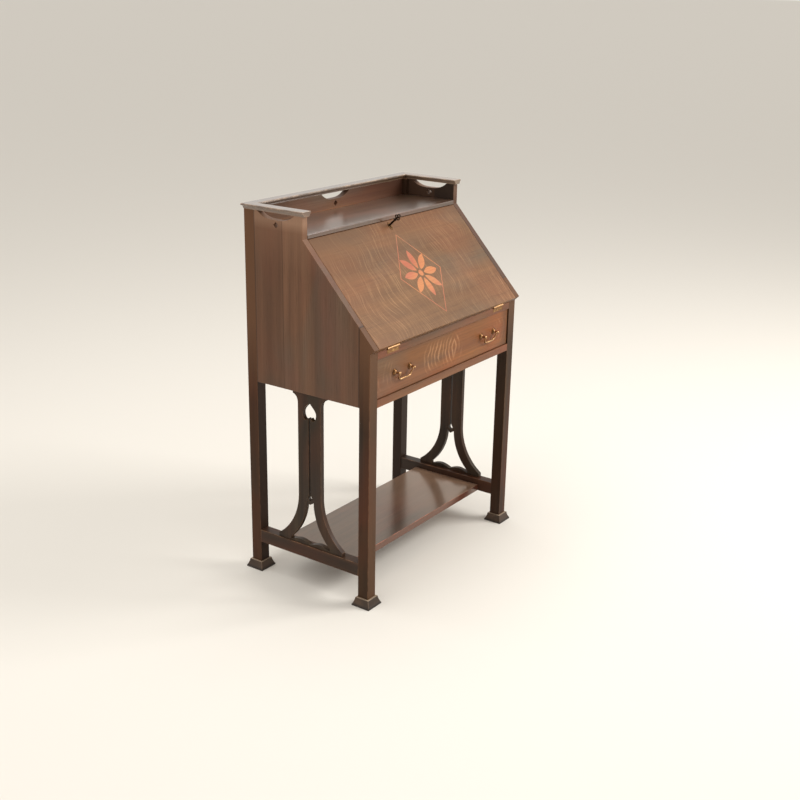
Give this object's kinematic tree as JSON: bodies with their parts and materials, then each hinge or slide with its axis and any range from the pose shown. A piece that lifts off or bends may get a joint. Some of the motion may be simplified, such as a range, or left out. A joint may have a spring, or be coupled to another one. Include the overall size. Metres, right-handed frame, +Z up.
{
  "type": "fall-front secretary desk",
  "caption": "Small writing desk with a sloping drop-down lid, a long drawer, pigeonholes, a galleried top, pierced side splats, flared feet and a low shelf.",
  "frame": {"origin": "middle of the whole desk's footprint on the floor, pulls included", "axes": "+X to the right of someone facing the desk, the front faces -Y, +Z up"},
  "size_m": [0.714, 0.4226, 1.004],
  "materials": {
    "oak_case": "satin",
    "oak_splat": "satin",
    "oak_shelf": "satin",
    "oak_rail": "satin",
    "oak_bed": "satin",
    "oak_top": "satin",
    "oak_gallery": "satin",
    "oak_back": "matte",
    "oak_inside": "satin",
    "drawer_wood": "matte",
    "oak_drawer": "satin",
    "oak_lid": "satin",
    "inlay": "satin",
    "brass": "aged",
    "pull_brass": "aged",
    "steel": "dull",
    "key_steel": "dark"
  },
  "bodies": {
    "case": {"leg_front_left": "oak_case", "leg_front_right": "oak_case", "leg_back_left": "oak_case", "leg_back_right": "oak_case", "foot_front_left": "oak_case", "foot_front_right": "oak_case", "foot_back_left": "oak_case", "foot_back_right": "oak_case", "side_panel_left": "oak_case", "side_panel_right": "oak_case", "splat_left": "oak_splat", "splat_right": "oak_splat", "stretcher_left": "oak_case", "stretcher_right": "oak_case", "shelf": "oak_shelf", "upper_rail": "oak_rail", "lower_rail": "oak_rail", "back_rail": "oak_case", "back_panel": "oak_back", "writing_bed": "oak_bed", "top_board": "oak_top", "top_rail": "oak_rail", "gallery_back": "oak_gallery", "cap_left": "oak_top", "cap_right": "oak_top", "cap_back": "oak_top", "drawer_runners": "drawer_wood", "kickers": "drawer_wood", "drawer_stops": "drawer_wood", "nest_top": "oak_inside", "nest_shelf": "oak_inside", "nest_uprights": "oak_inside", "strike_plate": "brass", "hinge_rail_leaves": "brass", "stay_plates": "brass", "case_screws": "brass"},
    "drawer": {"drawer_front": "oak_drawer", "drawer_sides": "drawer_wood", "drawer_back": "drawer_wood", "drawer_bottom": "drawer_wood", "pull_posts": "pull_brass"},
    "bail_left": {"bail_left": "pull_brass"},
    "bail_right": {"bail_right": "pull_brass"},
    "small_drawer": {"small_drawer_front": "oak_inside", "small_drawer_walls": "drawer_wood", "small_drawer_bottom": "drawer_wood", "small_drawer_knob": "brass"},
    "lid": {"lid_panel": "oak_lid", "lid_inlay": "inlay", "hinge_lid_leaves": "brass", "hinge_pins": "brass", "lock_case": "brass", "escutcheon": "brass", "stay_brackets": "brass", "lid_screws": "brass"},
    "lock_bolt": {"lock_bolt": "steel"},
    "key": {"key": "key_steel"},
    "stay_arm_left": {"stay_arm_left": "brass"},
    "stay_arm_right": {"stay_arm_right": "brass"}
  },
  "joints": [
    {"name": "lid_hinge", "type": "hinge", "parent": "case", "child": "lid", "pos_m": [0, -0.19755, 0.683], "axis": [1, 0, 0], "range_deg": [0, 132.7]},
    {"name": "drawer_slide", "type": "slide", "parent": "case", "child": "drawer", "axis": [0, -1, 0], "range_m": [0, 0.25]},
    {"name": "bail_left_swing", "type": "hinge", "parent": "drawer", "child": "bail_left", "pos_m": [-0.204, -0.2075, 0.6135], "axis": [-1, 0, 0], "range_deg": [0, 90]},
    {"name": "bail_right_swing", "type": "hinge", "parent": "drawer", "child": "bail_right", "pos_m": [0.204, -0.2075, 0.6135], "axis": [-1, 0, 0], "range_deg": [0, 90]},
    {"name": "small_drawer_slide", "type": "slide", "parent": "case", "child": "small_drawer", "axis": [0, -1, 0], "range_m": [0, 0.13]},
    {"name": "key_turn", "type": "hinge", "parent": "lid", "child": "key", "pos_m": [0, 0.01264, 0.91079], "axis": [0, -0.7349, 0.6782], "range_deg": [0, 180]},
    {"name": "bolt_slide", "type": "slide", "parent": "lid", "child": "lock_bolt", "axis": [0, 0.6782, 0.7349], "range_m": [0, 0.00705]},
    {"name": "stay_left_turn", "type": "hinge", "parent": "lid", "child": "stay_arm_left", "pos_m": [-0.3085, -0.1299, 0.74304], "axis": [1, 0, 0], "range_deg": [-100.4, 0]},
    {"name": "stay_right_turn", "type": "hinge", "parent": "lid", "child": "stay_arm_right", "pos_m": [0.3085, -0.1299, 0.74304], "axis": [1, 0, 0], "range_deg": [-100.4, 0]}
  ],
  "couplings": [
    {"joint": "bolt_slide", "follows": "key_turn", "m_per_rad": 0.0022282},
    {"joint": "stay_left_turn", "follows": "lid_hinge", "ratio": -0.75584},
    {"joint": "stay_right_turn", "follows": "lid_hinge", "ratio": -0.75584}
  ]
}
